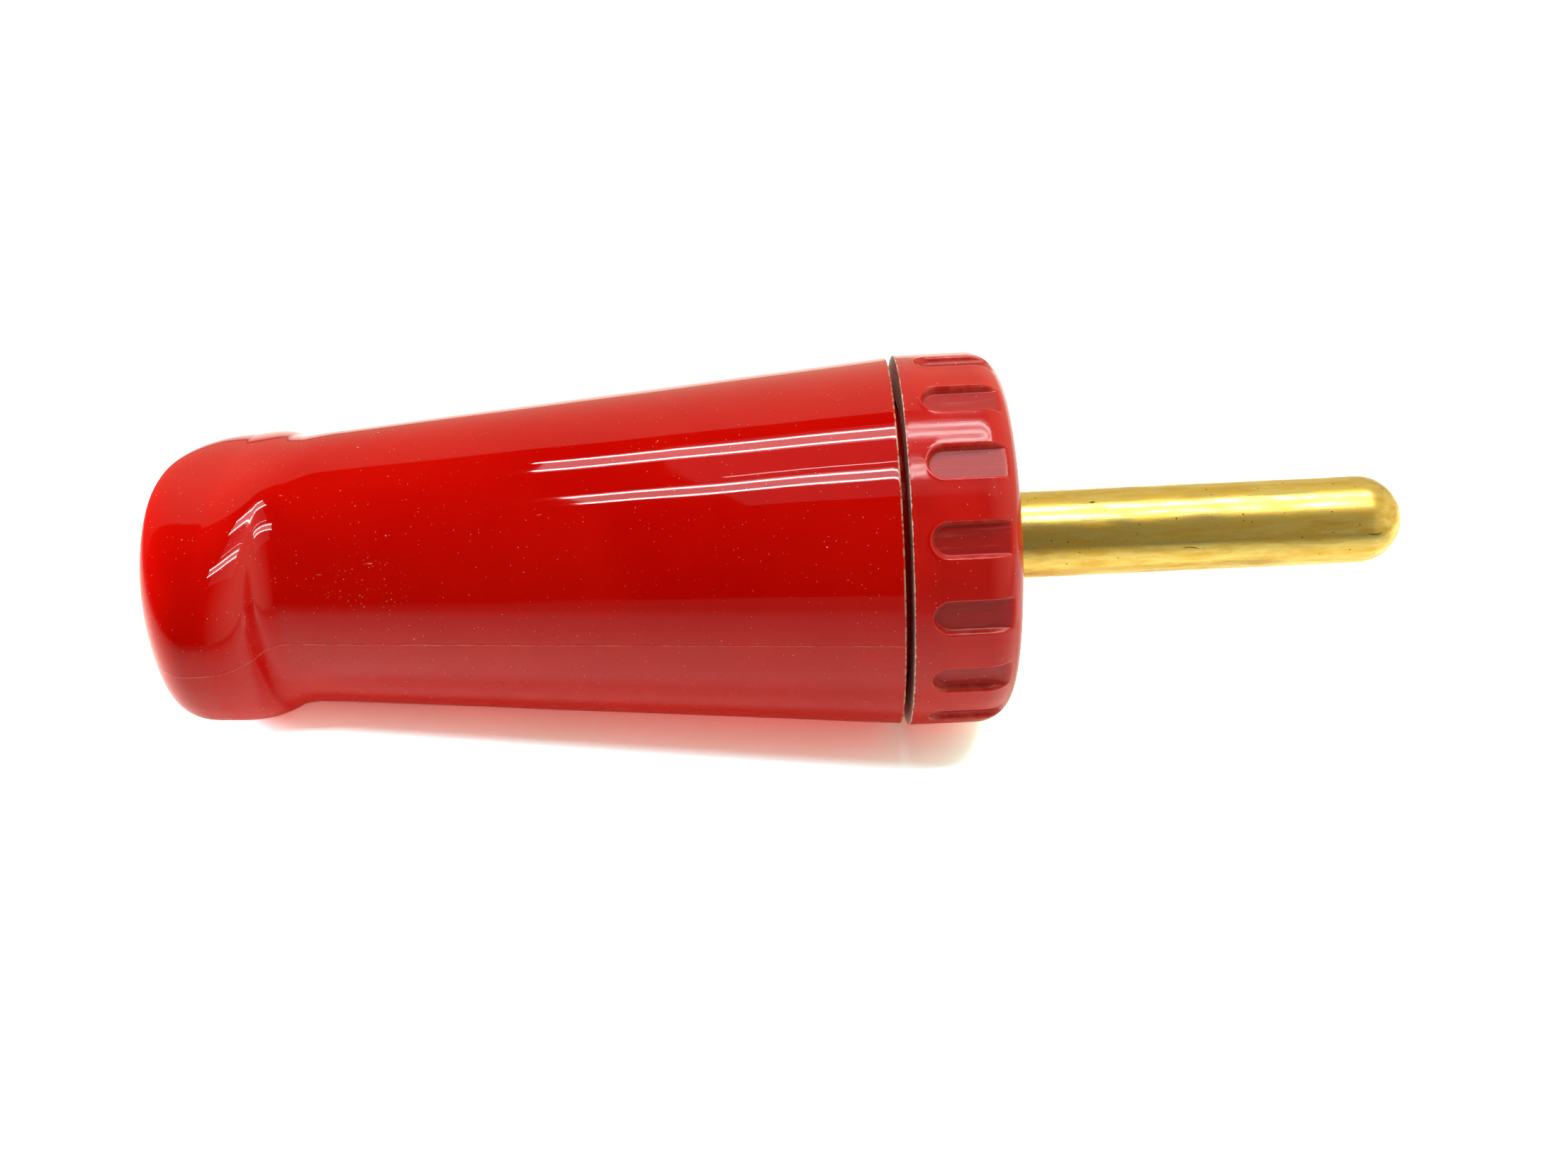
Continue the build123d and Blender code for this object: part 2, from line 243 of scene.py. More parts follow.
def makeGrip(s):
    # extra columns beside the parting lines, at these distances on the grip's middle radius
    seamSteps = np.array([-0.5, -0.28, -0.16, -0.08, 0.08, 0.16, 0.28, 0.5]) / s["middleRadius"]
    angles = np.linspace(0, fullTurn, s["columns"], endpoint=False)
    angles = np.sort(np.concatenate([angles, seamSteps % fullTurn, seamSteps + math.pi]))
    shoulderX = s["shoulderX"]
    # neck: end face, thread, relief and shoulder face
    neckRun = roundedRun(
        [
            (neckEnd, s["recess"] + 0.6, 0),
            (neckEnd, s["neck"] - 0.8, 0.2),
            (neckEnd - 0.8, s["neck"], 0.2),
            (shoulderX + 2.8, s["neck"], 0.2),
            (shoulderX + 2.0, s["neck"] - 0.8, 0.2),
            (shoulderX + 2.0, s["neck"] - 0.6, 0.1),
            (shoulderX, s["neck"] - 0.6, 0.3),
            (shoulderX, s["shoulder"] - s["shoulderEdge"], 0.0),
        ],
        0.22,
    )
    x = neckRun[:, :1]
    inThread = ease((neckEnd - 0.5 - x) / 1.2) * ease((x - shoulderX - 3.2) / 1.2)
    onThread = np.where(neckRun[:, 1:2] > s["neck"] - 0.9, inThread, 0)
    groove = s["threadDepth"] * onThread * threadWave(x, angles, s["threadPitch"])
    neck = turned(neckRun, angles, neckRun[:, 1:2] - groove)
    # shoulder edge, grip and collar
    length = shoulderX - handleEnd
    roundStart = length - s["endRound"]
    back = np.concatenate(
        [
            s["shoulderEdge"] * np.linspace(0.02, 1, 4),
            [0.2, 0.32],
            np.linspace(0.9, s["flareStart"] - s["leadIn"], 82),
            np.linspace(s["flareStart"] - s["leadIn"], s["flareStart"], 9)[1:],
            np.linspace(s["flareStart"], roundStart, 40)[1:],
            roundStart + s["endRound"] * np.sin(np.linspace(0, math.pi / 2, 36)[1:]),
        ]
    )
    radii = collarRadii(s, back, angles)
    edge = s["shoulderEdge"]
    edgeLoss = edge - np.sqrt(np.maximum(edge**2 - (edge - np.minimum(back, edge)) ** 2, 0))
    x = shoulderX - back
    shade = np.sin(x / 9.5 + 2 * angles[:, None] + 0.4).T + np.sin(x / 5.1 - 3 * angles[:, None]).T
    shade = shade + 0.7 * np.sin(x / 3.3 + angles[:, None] * 5).T
    radii = radii - edgeLoss[:, None] + s["waviness"] * shade * ease(back / 6)[:, None]
    radii = radii + seamRidge(s, x, angles, radii) * ease((length - back) / 0.4)[:, None]
    radii = radii + s["flash"] * ragged(angles) * np.exp(-(((back - edge) / 0.09) ** 2))[:, None]
    outer = turned(np.stack([x, x], axis=1), angles, radii)
    # rear face: from the collar's last section to the bush seat
    share = np.linspace(0, 1, 12)[1:-1, None]
    faceRadii = radii[-1] * (1 - share) + (s["bushSeat"] + 0.3) * share
    face = turned(np.full((len(share), 2), handleEnd), angles, faceRadii)
    # hollow, back to the neck's end
    hollowRun = roundedRun(
        [
            (handleEnd, s["bushSeat"] + 0.3, 0),
            (handleEnd, s["bushSeat"], 0.25),
            (handleEnd + s["bushDepth"], s["bushSeat"], 0.2),
            (handleEnd + s["bushDepth"], s["cableWay"], 0.2),
            (handleEnd + s["cableWayEnd"], s["cableWay"], 0.4),
            (handleEnd + s["roomStart"], s["room"], 0.4),
            (s["recessFloor"], s["room"], 0.15),
            (s["recessFloor"], s["room"] + 0.3, 0),
        ],
        4.0,
    )
    hollow = turned(hollowRun, angles)
    floorX = s["recessFloor"]
    recessRun = np.array(
        [
            (floorX, -0.2),
            (floorX, 0.0),
            (floorX + 0.1, 0.0),
            (neckEnd - 0.15, 0.0),
            (neckEnd - 0.04, 0.06),
            (neckEnd, 0.2),
        ]
    )
    recess = turned(recessRun, angles, flatRadius(s["recess"], s["recessFlat"], angles) + recessRun[:, 1:2])
    piece = gridPiece("gripShell", np.concatenate([neck, outer, face, hollow, recess]), closeRows=True)
    return finish(piece, "handle", "body")


gripShell = makeGrip(gripShape)

# screw ring: satin moulding with sixteen grip notches

ringShape = {
    "radius": 25.35,
    "rearLip": 25.4,
    "corner": 4.6,
    "lipHeight": 0.35,
    "lipWidth": 0.7,
    "hole": 6.4,
    "wall": 3.6,
    "bore": 19.3,
    "pocket": 15.5,
    "pocketDepth": 0.5,
    "threadPitch": 3.0,
    "threadDepth": 0.75,
    "notches": 16,
    "notchWidth": 4.3,
    "notchDepth": 1.1,
    "notchMargin": 2.45,
    "firstNotch": math.radians(31.1),
    "notchWall": 0.34,  # width of the drafted and rounded wall
    "rimRise": 0.035,  # slight raised rim round each notch
    "notchMouth": 0.45,  # extra width that the close columns cover beside a notch
    "notchColumns": 36,
    "landColumns": 10,
    "closeRows": (1.85, 4.8, 0.125),  # from, to and step, from the rear face, past the notches' round ends
}


def notchDistance(s, x, side):
    # distance outside a slot's outline, negative inside: |side| - w/2 on its straight part,
    # and the distance to the centre of its round rear end minus w/2 behind that
    centre = ringBack + s["notchMargin"] + s["notchWidth"] / 2
    return np.hypot(side, np.minimum(x - centre, 0)) - s["notchWidth"] / 2


def makeRing(s):
    zone = (s["notchWidth"] / 2 + s["notchMouth"]) / s["radius"]
    pitch = fullTurn / s["notches"]
    offsets = np.concatenate(
        [
            np.linspace(-zone, zone, s["notchColumns"], endpoint=False),
            np.linspace(zone, pitch - zone, s["landColumns"], endpoint=False),
        ]
    )
    centres = math.pi - s["firstNotch"] + pitch * np.arange(s["notches"])
    angles = (centres[:, None] + offsets).ravel()
    nearest = (offsets + pitch / 2) % pitch - pitch / 2
    swing = np.tile(nearest, s["notches"])
    face = ringFront - s["lipHeight"]
    # outside: rear edge, grip surface with notches, rounded corner
    rearEdge = [(ringBack, s["radius"] - 1.2, 0), (ringBack, s["radius"], 0.15)]
    back = roundedRun([*rearEdge, (ringBack + 1.7, s["radius"], 0)], 0.2)
    closeStart, closeEnd, closeStep = s["closeRows"]
    fine = np.arange(ringBack + closeStart, ringBack + closeEnd, closeStep)
    coarse = np.linspace(ringBack + closeEnd, face - s["corner"], 12)[1:]
    bend = np.linspace(0, math.pi / 2, 20)[1:]
    cornerX = face - s["corner"] + s["corner"] * np.sin(bend)
    corner = np.stack([cornerX, s["radius"] - s["corner"] * (1 - np.cos(bend))], axis=1)
    along = np.concatenate([fine, coarse])
    grip = np.stack([along, np.full(len(along), s["radius"])], axis=1)
    run = np.concatenate([back, grip, corner])
    x, radius = run[:, :1], run[:, 1:2]
    away = notchDistance(s, x, s["radius"] * np.sin(swing))
    inside = ease(0.5 - away / s["notchWall"])
    floor = (s["radius"] - s["notchDepth"]) / np.cos(swing)
    depth = np.maximum(radius - floor, 0)
    rim = np.exp(-(((away - 0.32) / 0.2) ** 2)) * ease(depth / 0.4)
    lip = np.exp(-(((x - ringBack - 0.16) / 0.1) ** 2))
    lip = (s["rearLip"] - s["radius"]) * ragged(angles + 1.3) * lip
    radii = radius - inside * depth + s["rimRise"] * rim + lip * (radius > s["radius"] - 0.3)
    outer = turned(run, angles, radii)
    # notch rims, which the material paints paler: wear and a painted highlight
    edge = np.exp(-(((away - 0.05) / 0.16) ** 2)) * ease(depth / 0.3)
    # inside: front face, lip, pin hole, washer pocket, threaded bore and rear face
    inner = roundedRun(
        [
            (face, s["radius"] - s["corner"] - 0.4, 0),
            (face, s["hole"] + s["lipWidth"], 0.15),
            (ringFront, s["hole"] + s["lipWidth"], 0.12),
            (ringFront, s["hole"], 0.12),
            (face - s["wall"], s["hole"], 0.15),
            (face - s["wall"], s["pocket"], 0.1),
            (face - s["wall"] - s["pocketDepth"], s["pocket"], 0.1),
            (face - s["wall"] - s["pocketDepth"], s["bore"], 0.2),
            (ringBack, s["bore"], 0.35),
            (ringBack, s["radius"] - 1.6, 0),
        ],
        0.3,
        steps=4,
    )
    level = np.abs(np.diff(inner[:, 0])) < 1e-9  # flat faces need few of their rows
    onFlat = np.append(level, False) & np.insert(level, 0, False)
    inner = inner[~onFlat | (np.arange(len(inner)) % 5 == 0)]
    x = inner[:, :1]
    onBore = np.where(np.abs(inner[:, 1:2] - s["bore"]) < 0.02, 1, 0)
    boreEnd = face - s["wall"] - s["pocketDepth"]
    onBore = onBore * ease((boreEnd - 0.8 - x) / 1.0) * ease((x - ringBack - 0.6) / 1.0)
    thread = s["threadDepth"] * onBore * threadWave(x, angles, s["threadPitch"])
    inner = turned(inner, angles, inner[:, 1:2] + thread)
    none = np.zeros(inner.shape[:2])
    # the material paints the notch floors darker as painted shade, and the rims paler as wear and a painted
    # highlight
    attributes = {
        "notchFloor": np.concatenate([inside * ease(depth / 0.5), none]),
        "notchRimWearAndHighlight": np.concatenate([edge, none]),
    }
    piece = gridPiece("ringShell", np.concatenate([outer, inner]), closeRows=True, attributes=attributes)
    return finish(piece, "screw_ring", "ring")


ringShell = makeRing(ringShape)

# contact pin: turned brass with a domed tip

pinShape = {
    "radius": 6.0,
    "dome": 5.6,
    "relief": 5.5,
    "flange": 15.2,
    "flangeFlat": 13.5,
    "flangeFace": -5.0,
    "flangeBack": -9.0,
    "spigot": 5.0,
    "threadStart": -13.0,
    "threadPitch": 1.5,
    "threadDepth": 0.75,
    "roundFace": 3.5,  # the flange's faces are round up to this far inside its rim
    "columns": 144,
}


def makePin(s):
    angles = np.linspace(0, fullTurn, s["columns"], endpoint=False)
    tip, end = pinHigh[0], pinLow[0]
    # dome: part of a sphere of radius (r^2 + h^2) / 2h, from the tip to the pin's full radius
    sphere = (s["radius"] ** 2 + s["dome"] ** 2) / (2 * s["dome"])
    swing = math.asin(s["radius"] / sphere)
    bend = np.linspace(0, swing, 34)
    dome = np.stack([tip - sphere * (1 - np.cos(bend)), sphere * np.sin(bend)], axis=1)
    shaft = roundedRun(
        [
            (tip - s["dome"], s["radius"], 0),
            (0.0, s["radius"], 0.12),
            (0.0, s["relief"], 0.12),
            (s["flangeFace"], s["relief"], 0.3),
            (s["flangeFace"], s["flange"] - s["roundFace"], 0),
        ],
        0.9,
    )[1:]
    flange = roundedRun(
        [
            (s["flangeFace"], 0.0, 0),
            (s["flangeFace"], 0.3, 0.2),
            (s["flangeBack"], 0.3, 0.2),
            (s["flangeBack"], 0.0, 0),
        ],
        1.0,
        steps=4,
    )
    flange[:, 1] -= 0.3
    flangeRadii = flatRadius(s["flange"], s["flangeFlat"], angles) + flange[:, 1:2]
    spigot = roundedRun(
        [
            (s["flangeBack"], s["flange"] - s["roundFace"], 0),
            (s["flangeBack"], s["spigot"], 0.25),
            (end + 0.8, s["spigot"], 0.1),
            (end, s["spigot"] - 0.8, 0.1),
            (end, 0.0, 0),
        ],
        0.16,
        steps=4,
    )
    onSide = (spigot[:, 0] < s["flangeBack"] - 1e-6) & (spigot[:, 0] > end + 1e-6)
    keep = onSide | (np.arange(len(spigot)) % 8 == 0)
    keep[-1] = True
    spigot = spigot[keep]
    x = spigot[:, :1]
    onThread = np.where(np.abs(spigot[:, 1:2] - s["spigot"]) < 0.02, 1, 0)
    onThread = onThread * ease((s["threadStart"] - x) / 0.8) * ease((x - end - 0.9) / 0.6)
    thread = s["threadDepth"] * onThread * threadWave(x, angles, s["threadPitch"], 0.2, 0.34)
    grid = [turned(dome, angles), turned(shaft, angles), turned(flange, angles, flangeRadii)]
    grid.append(turned(spigot, angles, spigot[:, 1:2] - thread))
    piece = gridPiece("pinShell", np.concatenate(grid), poles=True)
    return finish(piece, "contact_pin", "body")


pinShell = makePin(pinShape)

# cable bush: rubber, in the handle's rear mouth

bushShape = {
    "radius": 10.0,
    "bore": 6.8,
    "mouth": 1.2,
    "grooves": 5,
    "grooveDepth": 0.5,
    "columns": 120,
}


def makeBush(s):
    angles = np.linspace(0, fullTurn, s["columns"], endpoint=False)
    front, rear = bushHigh[0], bushLow[0]
    outer = roundedRun(
        [
            (rear, s["bore"] + s["mouth"], 0),
            (rear, s["radius"], 0.4),
            (front, s["radius"], 0.4),
            (front, s["bore"], 0.4),
            (front - 1.0, s["bore"], 0),
        ],
        1.2,
    )
    bore = np.linspace(front - 1.0, rear + s["mouth"], 70)[1:]
    share = (bore - bore[0]) / (bore[-1] - bore[0])
    # soft grooves that grip the cable: radius + depth sin^2 along the bore
    grooved = s["bore"] + s["grooveDepth"] * np.sin(math.pi * s["grooves"] * share) ** 2
    bore = np.stack([bore, grooved], axis=1)
    rim = s["bore"] + s["mouth"]
    mouth = roundedRun([(rear + s["mouth"], s["bore"], 0), (rear, rim, 0.2), (rear, rim + 0.4, 0)], 0.5)[1:-1]
    piece = gridPiece("bushShell", turned(np.concatenate([outer[1:], bore, mouth]), angles), closeRows=True)
    return finish(piece, "cable_bush", "body")


bushShell = makeBush(bushShape)
print("shells made")


def hexColour(code):
    # sRGB hex value to linear RGBA
    parts = np.array([int(code[i : i + 2], 16) for i in (1, 3, 5)]) / 255
    linear = np.where(parts <= 0.04045, parts / 12.92, ((parts + 0.055) / 1.055) ** 2.4)
    return (*linear.tolist(), 1.0)


def perMm(size):
    # texture scale on Object coordinates, in metres, for a pattern that repeats every size millimetres
    return 1 / (size * mm)


def addNode(tree, kind, inputs=None, out=0, **settings):
    # Adds one node. Inputs, by name or number, are values or other nodes' outputs, which are linked;
    # settings are the node's own properties. It gives back the output asked for.
    node = tree.nodes.new("ShaderNode" + kind)
    for key, value in settings.items():
        setattr(node, key, value)
    for key, value in (inputs or {}).items():
        if isinstance(value, bpy.types.NodeSocket):
            tree.links.new(value, node.inputs[key])
        else:
            node.inputs[key].default_value = value
    return node.outputs[out] if node.outputs else None


def startMaterial(name):
    # an empty material, its tree, and the place on the piece
    material = bpy.data.materials.new(name)
    material.use_nodes = True
    tree = material.node_tree
    tree.nodes.clear()
    return material, tree, addNode(tree, "TexCoord", out="Object")


def wear(piece, material):
    # the piece's material slots all take this material
    if not piece.data.materials:
        piece.data.materials.append(material)
    for slot in piece.material_slots:
        slot.material = material


def specks(tree, place, spacing, size, share, turn=(0, 0, 0), stretch=1.0):
    # Small dots, 0 to 1: one in each cell of a cell pattern, kept in that share of the cells. Spacing and
    # size are in millimetres. Dust is really finer than this and is drawn as coarse as it needs to show.
    # Stretched ones are short hairs along the turned X axis, bent by a slow noise.
    if stretch > 1:
        drift = addNode(tree, "TexNoise", {"Vector": place, "Scale": perMm(3.0)}, out="Color")
        bent = {0: drift, 1: (1.6 * mm,) * 3, 2: place}
        place = addNode(tree, "VectorMath", bent, operation="MULTIPLY_ADD")
    laid = addNode(tree, "Mapping", {0: place, "Rotation": turn, "Scale": (1 / stretch, 1, 1)})
    far = addNode(tree, "TexVoronoi", {"Vector": laid, "Scale": perMm(spacing)}, out="Distance")
    colour = addNode(tree, "SeparateColor", {0: far.node.outputs["Color"]})
    dot = addNode(tree, "MapRange", {0: far, 1: size / spacing, 2: 0.55 * size / spacing})
    kept = addNode(tree, "Math", {0: colour, 1: share}, operation="LESS_THAN")
    strength = addNode(tree, "MapRange", {0: colour.node.outputs[1], 1: 0.0, 2: 1.0, 3: 0.25, 4: 1.0})
    dot = addNode(tree, "Math", {0: dot, 1: kept}, operation="MULTIPLY")
    return addNode(tree, "Math", {0: dot, 1: strength}, operation="MULTIPLY")


glossLook = {
    "deep": "#bd0501",
    "warm": "#c40a02",
    "dust": "#f0b49c",
    "grit": "#c9803c",
    "gritPlace": (-82.8, -18.2, 6.8),  # beside the collar
    "gritReach": (2.0, 6.5),  # full within the first distance, gone at the second
    "seam": "#c96a48",
    "flash": "#b98c68",
    "roughness": (0.02, 0.055),
    "dustRoughness": 0.4,
    "ior": 1.52,
}


def makeGlossThermoset(look):
    # Red thermoset, compression moulded against polished steel: hard deep gloss that mirrors the room,
    # with settled dust and hairs, fine rubs, a thin broken parting line and a torn pale flash at the shoulder
    material, tree, place = startMaterial("mouldedThermosetGloss")
    x = addNode(tree, "SeparateXYZ", {0: place})
    y, z = x.node.outputs[1], x.node.outputs[2]
    cloud = addNode(tree, "TexNoise", {"Vector": place, "Scale": perMm(14), "Detail": 3.0})
    share = addNode(tree, "MapRange", {0: cloud, 1: 0.35, 2: 0.65})
    ends = {6: hexColour(look["deep"]), 7: hexColour(look["warm"])}
    colour = addNode(tree, "Mix", {0: share, **ends}, out=2, data_type="RGBA")
    # dust gathers in patches: round specks and three directions of short hairs
    patch = addNode(tree, "TexNoise", {"Vector": place, "Scale": perMm(16), "Detail": 2.0})
    patch = addNode(tree, "MapRange", {0: patch, 1: 0.38, 2: 0.62, 3: 0.25, 4: 1.0})
    dust = specks(tree, place, 0.55, 0.07, 0.35)
    large = specks(tree, place, 2.3, 0.12, 0.3)
    dust = addNode(tree, "Math", {0: dust, 1: large}, operation="MAXIMUM")
    for turn, spacing in (((0.2, 0.4, 0.7), 1.9), ((0.9, 0.1, -1.1), 2.3), ((-0.5, 0.6, 2.2), 2.1)):
        hairs = specks(tree, place, spacing, 0.08, 0.3, turn, 7.0)
        dust = addNode(tree, "Math", {0: dust, 1: hairs}, operation="MAXIMUM")
    dust = addNode(tree, "Math", {0: dust, 1: patch}, operation="MULTIPLY")
    colour = addNode(tree, "Mix", {0: dust, 6: colour, 7: hexColour(look["dust"])}, out=2, data_type="RGBA")
    # yellow grit stuck in one patch beside the collar
    gritPlace = tuple(part * mm for part in look["gritPlace"])
    full, gone = look["gritReach"]
    away = addNode(tree, "VectorMath", {0: place, 1: gritPlace}, out="Value", operation="DISTANCE")
    near = addNode(tree, "MapRange", {0: away, 1: gone * mm, 2: full * mm})
    grit = specks(tree, place, 0.5, 0.12, 0.45)
    grit = addNode(tree, "Math", {0: grit, 1: near}, operation="MULTIPLY")
    colour = addNode(tree, "Mix", {0: grit, 6: colour, 7: hexColour(look["grit"])}, out=2, data_type="RGBA")
    # parting line on both sides, where z is 0
    line = addNode(tree, "Math", {0: z}, operation="ABSOLUTE")
    line = addNode(tree, "MapRange", {0: line, 1: 0.1 * mm, 2: 0.03 * mm})
    broken = addNode(tree, "TexNoise", {"Vector": place, "Scale": perMm(3), "Detail": 3.0})
    broken = addNode(tree, "MapRange", {0: broken, 1: 0.42, 2: 0.62, 3: 0.08, 4: 0.8})
    line = addNode(tree, "Math", {0: line, 1: broken}, operation="MULTIPLY")
    colour = addNode(tree, "Mix", {0: line, 6: colour, 7: hexColour(look["seam"])}, out=2, data_type="RGBA")
    # torn flash along the shoulder's edge
    torn = addNode(tree, "TexNoise", {"Vector": place, "Scale": perMm(0.8), "Detail": 2.0})
    torn = addNode(tree, "MapRange", {0: torn, 1: 0.45, 2: 0.55, 3: 0.1, 4: 0.9})
    shoulderX = gripShape["shoulderX"] * mm
    edge = addNode(tree, "MapRange", {0: x, 1: shoulderX - 0.26 * mm, 2: shoulderX - 0.16 * mm})
    rim = addNode(tree, "CombineXYZ", {1: y, 2: z})
    rim = addNode(tree, "VectorMath", {0: rim}, out="Value", operation="LENGTH")
    rim = addNode(tree, "Math", {0: rim, 1: (gripShape["shoulder"] - 0.35) * mm}, operation="GREATER_THAN")
    flash = addNode(tree, "Math", {0: edge, 1: rim}, operation="MULTIPLY")
    flash = addNode(tree, "Math", {0: flash, 1: torn}, operation="MULTIPLY")
    colour = addNode(tree, "Mix", {0: flash, 6: colour, 7: hexColour(look["flash"])}, out=2, data_type="RGBA")
    # faint rubs that dull the gloss
    laid = addNode(tree, "Mapping", {0: place, "Rotation": (0.3, 0.5, 0.9), "Scale": (1.0, 9.0, 9.0)})
    rubs = addNode(tree, "TexNoise", {"Vector": laid, "Scale": perMm(14), "Detail": 4.0})
    smooth, dull = look["roughness"]
    roughness = addNode(tree, "MapRange", {0: rubs, 1: 0.4, 2: 0.8, 3: smooth, 4: dull})
    matt = addNode(tree, "Math", {0: dust, 1: flash}, operation="MAXIMUM")
    matt = addNode(tree, "Math", {0: matt, 1: grit}, operation="MAXIMUM")
    roughness = addNode(
        tree, "Math", {0: matt, 1: look["dustRoughness"], 2: roughness}, operation="MULTIPLY_ADD"
    )
    waves = addNode(tree, "TexNoise", {"Vector": place, "Scale": perMm(6), "Detail": 1.0})
    height = addNode(tree, "Math", {0: dust, 1: 0.5, 2: waves}, operation="MULTIPLY_ADD")
    bump = addNode(tree, "Bump", {"Strength": 0.4, "Distance": 0.012 * mm, "Height": height})
    surface = {"Base Color": colour, "Roughness": roughness, "Normal": bump, "IOR": look["ior"]}
    shader = addNode(tree, "BsdfPrincipled", surface)
    addNode(tree, "OutputMaterial", {0: shader})
    return material


satinLook = {
    "land": "#c70f06",
    "landDeep": "#bb0803",
    # painted shade: the notch floors are a darker red than the lands
    "floor": "#a80b06",
    "scratch": "#e39a86",
    # paler notch rims: wear and a painted highlight
    "edge": "#e05a44",
    "dust": "#f0b49c",
    # rear rim: the machined face's colour, lightened as a painted sheen
    "rear": "#e8d2c0",
    "rearDark": "#c3a592",
    "roughness": (0.09, 0.14),
    "floorRoughness": 0.27,  # added on the notch floors, and the next on the rear rim
    "rearRoughness": 0.4,
    "ior": 1.52,
}


def makeSatinThermoset(look):
    # The same thermoset as a moulded ring that hands have rubbed: satin lands with lengthwise streaks,
    # duller scratched notches with painted shade on their floors, paler rims that are wear and a painted
    # highlight, and a rough unpolished rear rim whose pale colour is partly a painted sheen
    material, tree, place = startMaterial("mouldedThermosetSatin")
    x = addNode(tree, "SeparateXYZ", {0: place})
    cloud = addNode(tree, "TexNoise", {"Vector": place, "Scale": perMm(7), "Detail": 3.0})
    share = addNode(tree, "MapRange", {0: cloud, 1: 0.35, 2: 0.65})
    ends = {6: hexColour(look["landDeep"]), 7: hexColour(look["land"])}
    colour = addNode(tree, "Mix", {0: share, **ends}, out=2, data_type="RGBA")
    # painted shade: the notch floors are painted a darker red
    floor = addNode(tree, "Attribute", out="Fac", attribute_name="notchFloor")
    colour = addNode(tree, "Mix", {0: floor, 6: colour, 7: hexColour(look["floor"])}, out=2, data_type="RGBA")
    # rubbed streaks run along the axis: the noise is stretched eighteen times
    laid = addNode(tree, "Mapping", {0: place, "Scale": (1.0, 18.0, 18.0)})
    streak = addNode(tree, "TexNoise", {"Vector": laid, "Scale": perMm(7), "Detail": 5.0, "Roughness": 0.6})
    scratch = addNode(tree, "MapRange", {0: streak, 1: 0.55, 2: 0.72, 3: 0.0, 4: 0.13})
    scratch = addNode(tree, "Math", {0: scratch, 1: floor}, operation="MULTIPLY")
    scratched = {0: scratch, 6: colour, 7: hexColour(look["scratch"])}
    colour = addNode(tree, "Mix", scratched, out=2, data_type="RGBA")
    # paler notch rims: wear and a painted highlight along their rounded edges, broken into patches
    edge = addNode(tree, "Attribute", out="Fac", attribute_name="notchRimWearAndHighlight")
    rimPatches = addNode(tree, "TexNoise", {"Vector": place, "Scale": perMm(1.5), "Detail": 2.0})
    rimPatches = addNode(tree, "MapRange", {0: rimPatches, 1: 0.4, 2: 0.6, 3: 0.1, 4: 0.45})
    edge = addNode(tree, "Math", {0: edge, 1: rimPatches}, operation="MULTIPLY")
    colour = addNode(tree, "Mix", {0: edge, 6: colour, 7: hexColour(look["edge"])}, out=2, data_type="RGBA")
    dust = specks(tree, place, 0.7, 0.085, 0.3)
    for turn in ((0.2, 0.4, 0.7), (0.9, 0.1, -1.1)):
        hairs = specks(tree, place, 2.4, 0.08, 0.3, turn, 6.0)
        dust = addNode(tree, "Math", {0: dust, 1: hairs}, operation="MAXIMUM")
    colour = addNode(tree, "Mix", {0: dust, 6: colour, 7: hexColour(look["dust"])}, out=2, data_type="RGBA")
    # rough rear rim: a pale machined face, lightened further as a painted sheen and light in the gap
    grit = addNode(tree, "TexNoise", {"Vector": place, "Scale": perMm(0.5), "Detail": 4.0})
    share = addNode(tree, "MapRange", {0: grit, 1: 0.4, 2: 0.6})
    ends = {6: hexColour(look["rearDark"]), 7: hexColour(look["rear"])}
    rearColour = addNode(tree, "Mix", {0: share, **ends}, out=2, data_type="RGBA")
    border = {0: grit, 1: 0.35 * mm, 2: (ringBack - 0.08) * mm}
    border = addNode(tree, "Math", border, operation="MULTIPLY_ADD")
    rear = addNode(tree, "Math", {0: x, 1: border}, operation="LESS_THAN")
    colour = addNode(tree, "Mix", {0: rear, 6: colour, 7: rearColour}, out=2, data_type="RGBA")
    smooth, dull = look["roughness"]
    roughness = addNode(tree, "MapRange", {0: streak, 1: 0.35, 2: 0.65, 3: smooth, 4: dull})
    for part, extra in ((floor, look["floorRoughness"]), (rear, look["rearRoughness"])):
        roughness = addNode(tree, "Math", {0: part, 1: extra, 2: roughness}, operation="MULTIPLY_ADD")
    grain = addNode(tree, "TexNoise", {"Vector": place, "Scale": perMm(0.4), "Detail": 2.0})
    height = addNode(tree, "Math", {0: grain, 1: 0.3, 2: streak}, operation="MULTIPLY_ADD")
    height = addNode(tree, "Math", {0: rear, 1: grit, 2: height}, operation="MULTIPLY_ADD")
    bump = addNode(tree, "Bump", {"Strength": 0.4, "Distance": 0.007 * mm, "Height": height})
    surface = {"Base Color": colour, "Roughness": roughness, "Normal": bump, "IOR": look["ior"]}
    shader = addNode(tree, "BsdfPrincipled", surface)
    addNode(tree, "OutputMaterial", {0: shader})
    return material


brassLook = {
    "bright": "#f9df7e",
    "dull": "#e9c153",
    "tarnish": "#8c6c28",
    "pit": "#33240d",
    "roughness": (0.19, 0.34),
    "smear": 5.0,  # wipe marks are this much longer than wide
    "relief": 0.007,
    "film": 0.6,
    "lines": 5.0,
    "pits": 0.5,  # share of the places that have one
}
nutLook = {
    "bright": "#efcd78",
    "dull": "#dcb25a",
    "tarnish": "#a98240",
    "pit": "#4a3618",
    "roughness": (0.2, 0.34),
    "smear": 1.5,
    "relief": 0.02,
    "film": 0.75,
    "lines": 9.0,
    "pits": 0.05,
}


